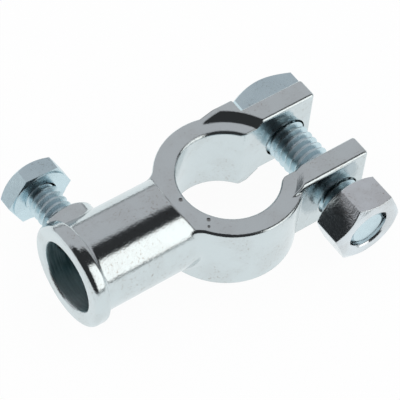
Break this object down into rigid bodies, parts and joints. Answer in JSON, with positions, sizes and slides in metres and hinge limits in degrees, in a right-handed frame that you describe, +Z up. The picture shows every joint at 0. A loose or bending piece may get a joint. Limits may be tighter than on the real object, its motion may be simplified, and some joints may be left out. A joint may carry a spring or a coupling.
{
  "type": "battery terminal clamp",
  "caption": "Cast battery terminal clamp with a split ring for the post, a flanged cable barrel held by a hex screw, and ears drawn together by a square-head bolt and a nut",
  "frame": {"origin": "on the axis of the post bore, at the height of the ring's flat top", "axes": "+Z up along the battery post, +X from the cable barrel towards the ears, +Y towards the head of the clamp bolt"},
  "size_m": [0.0593, 0.0398, 0.0193],
  "materials": {
    "casting": "bright zinc plating over a smooth casting, with a few small pits",
    "bolt": "bright zinc plating with a faint blue tint",
    "nut": "bright zinc plating, a little mottled",
    "screw": "bright zinc plating with a faint blue tint"
  },
  "bodies": {
    "clamp": {"clamp_body": "casting", "clamp_bolt": "bolt"},
    "nut": {"clamp_nut": "nut"},
    "screw": {"cable_screw": "screw"}
  },
  "joints": [
    {"name": "nut_travel", "type": "slide", "parent": "clamp", "child": "nut", "axis": [0, 1, 0], "range_m": [-0.003, 0.00235]},
    {"name": "screw_travel", "type": "slide", "parent": "clamp", "child": "screw", "axis": [0, -1, 0], "range_m": [-0.0015, 0.007]}
  ]
}
